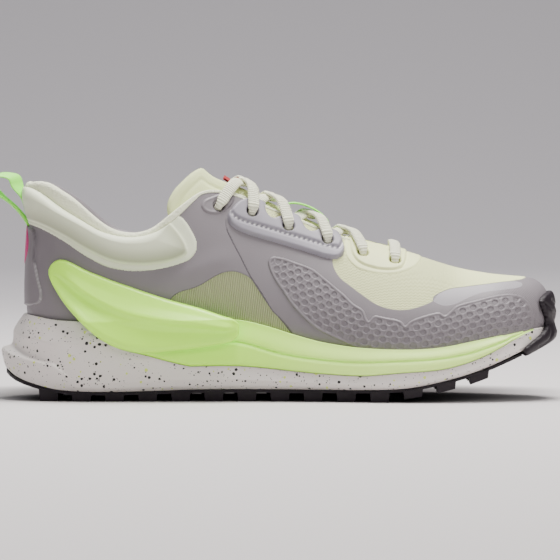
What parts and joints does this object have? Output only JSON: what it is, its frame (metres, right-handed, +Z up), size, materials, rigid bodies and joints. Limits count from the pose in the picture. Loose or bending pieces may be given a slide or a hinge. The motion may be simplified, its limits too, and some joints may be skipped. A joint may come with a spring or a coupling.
{
  "type": "trail running shoe",
  "caption": "Laced, empty left trail running shoe with a lugged outsole, toe bumper, two-layer foam sole, side support wings, padded collar, tongue and heel pull loop.",
  "frame": {"origin": "on the ground, at half the shoe's length, at the middle of the lug under that point", "axes": "+X from heel to toe, +Y to the lateral side (the outer side of the left foot), +Z up"},
  "size_m": [0.2955, 0.1055, 0.1226],
  "materials": {
    "rubber": "matte moulded rubber, dark plum black",
    "foam": "off-white foam with dark and lime flecks",
    "lime_foam": "pale lime moulded foam, satin",
    "sockliner": "brushed knit over foam",
    "mesh": "cream engineered mesh",
    "tongue_mesh": "pale padded mesh",
    "padding": "sage padded textile",
    "film": "smooth mauve grey film",
    "cream_film": "smooth cream film",
    "webbing": "bright mint webbing",
    "lace": "cream woven flat lace"
  },
  "bodies": {
    "root": {"outsole": "rubber", "toe_bumper": "rubber", "midsole": "foam", "carrier": "lime_foam", "insole": "sockliner", "upper": "mesh", "tongue": "tongue_mesh", "collar_cuff": "padding", "heel_tab": "film", "eyestay_medial": "film", "eyestay_lateral": "film", "vamp_stay": "cream_film", "wing_medial": "lime_foam", "wing_lateral": "lime_foam", "pull_loop": "webbing", "lace_keeper": "webbing", "lace_bar": "lace", "lace_cross_1": "lace", "lace_cross_2": "lace", "lace_cross_3": "lace", "lace_cross_4": "lace"}
  },
  "joints": []
}
